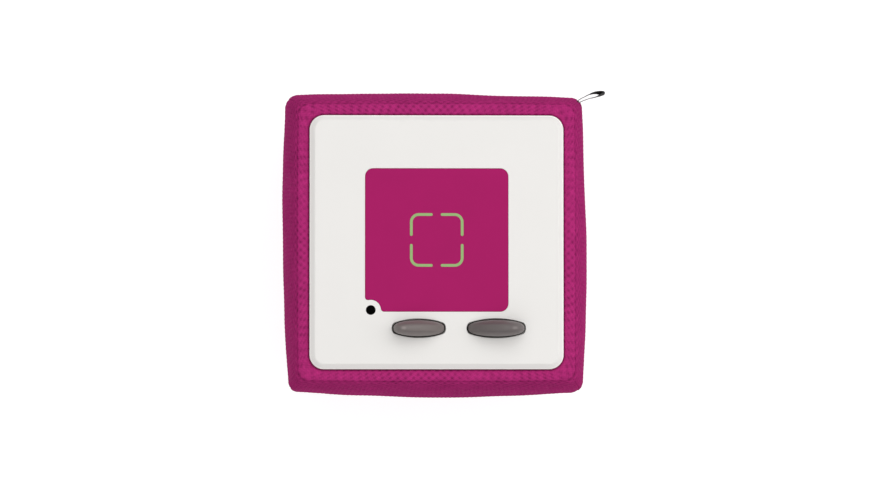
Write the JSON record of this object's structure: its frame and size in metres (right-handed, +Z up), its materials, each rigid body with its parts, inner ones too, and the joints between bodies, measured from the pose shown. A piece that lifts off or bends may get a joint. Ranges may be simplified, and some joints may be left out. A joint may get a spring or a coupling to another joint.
{
  "type": "audio story player",
  "caption": "Soft fabric-covered cube that plays stories: white top plate, figure platform, two ear-shaped press keys, headphone socket and a ribbon loop",
  "frame": {"origin": "centre of the underside, on the surface it stands on", "axes": "+Z up, -Y to the front, where the loudspeaker faces and the ears are nearest, +X to the right"},
  "size_m": [0.1276, 0.1209, 0.1328],
  "materials": {
    "knit": "magenta warp knit",
    "ribbon": "black woven ribbon",
    "foam": "soft polyether foam",
    "plate_white": "fine satin white",
    "platform_magenta": "fine satin magenta",
    "base_white": "fine satin white",
    "ring_rubber": "soft black rubber",
    "ear_rubber": "smoky silicone rubber",
    "carcass": "grey moulded plastic",
    "black_plastic": "black moulded plastic",
    "natural_plastic": "natural moulded plastic",
    "steel": "zinc plated",
    "spring_steel": "bright spring wire",
    "gold": "gold plated",
    "copper": "bare copper",
    "board_green": "solder mask",
    "lead_white": "clear diode lens",
    "magnet": "dark ferrite",
    "cone_paper": "coated paper",
    "surround_rubber": "thin rubber",
    "cell_wrap": "shrink film",
    "lead_black": "twin lead"
  },
  "bodies": {
    "player": {"fabric_cover": "knit", "hang_loop": "ribbon", "foam_pad_front": "foam", "foam_pad_back": "foam", "foam_pad_left": "foam", "foam_pad_right": "foam", "top_plate": "plate_white", "platform_inlay": "platform_magenta", "base_plate": "base_white", "non_slip_ring": "ring_rubber", "base_screws": "steel", "core_front_shell": "carcass", "core_rear_shell": "carcass", "speaker_grille": "black_plastic", "top_plate_screws": "steel", "volume_down_spring": "spring_steel", "volume_up_spring": "spring_steel", "key_frame": "carcass", "control_board": "board_green", "switch_bodies": "black_plastic", "status_leds": "lead_white", "control_board_screws": "steel", "headphone_socket": "black_plastic", "antenna_board": "board_green", "antenna_coil": "copper", "figure_magnet": "magnet", "speaker_basket": "carcass", "speaker_yoke": "steel", "speaker_magnet": "magnet", "speaker_washer": "steel", "speaker_surround": "surround_rubber", "speaker_spider": "cone_paper", "speaker_gasket": "foam", "speaker_screws": "steel", "battery_cells": "cell_wrap", "battery_tray": "black_plastic", "battery_strap": "natural_plastic", "tray_screws": "steel", "dock_contacts": "gold", "dock_board": "board_green", "main_board": "board_green", "board_components": "black_plastic", "board_connectors": "natural_plastic", "board_screws": "steel", "speaker_lead": "lead_black", "battery_lead": "lead_black", "dock_lead": "lead_black", "control_lead": "lead_black", "antenna_lead": "lead_black"},
    "volume_down_key": {"volume_down_ear": "ear_rubber", "volume_down_plunger": "natural_plastic", "volume_down_switch_stem": "black_plastic"},
    "volume_up_key": {"volume_up_ear": "ear_rubber", "volume_up_plunger": "natural_plastic", "volume_up_switch_stem": "black_plastic"},
    "cone_unit": {"speaker_cone": "cone_paper", "dust_cap": "cone_paper", "voice_coil": "copper"}
  },
  "joints": [
    {"name": "volume_down_press", "type": "slide", "parent": "player", "child": "volume_down_key", "axis": [0, 0, -1], "range_m": [0, 0.001], "stiffness_N_per_m": 1500, "springref_m": -0.0005, "deforming": ["volume_down_spring"]},
    {"name": "volume_up_press", "type": "slide", "parent": "player", "child": "volume_up_key", "axis": [0, 0, -1], "range_m": [0, 0.001], "stiffness_N_per_m": 1500, "springref_m": -0.0005, "deforming": ["volume_up_spring"]},
    {"name": "cone_travel", "type": "slide", "parent": "player", "child": "cone_unit", "axis": [0, -1, 0], "range_m": [-0.0015, 0.0015], "stiffness_N_per_m": 1200, "deforming": ["speaker_surround", "speaker_spider"]}
  ]
}
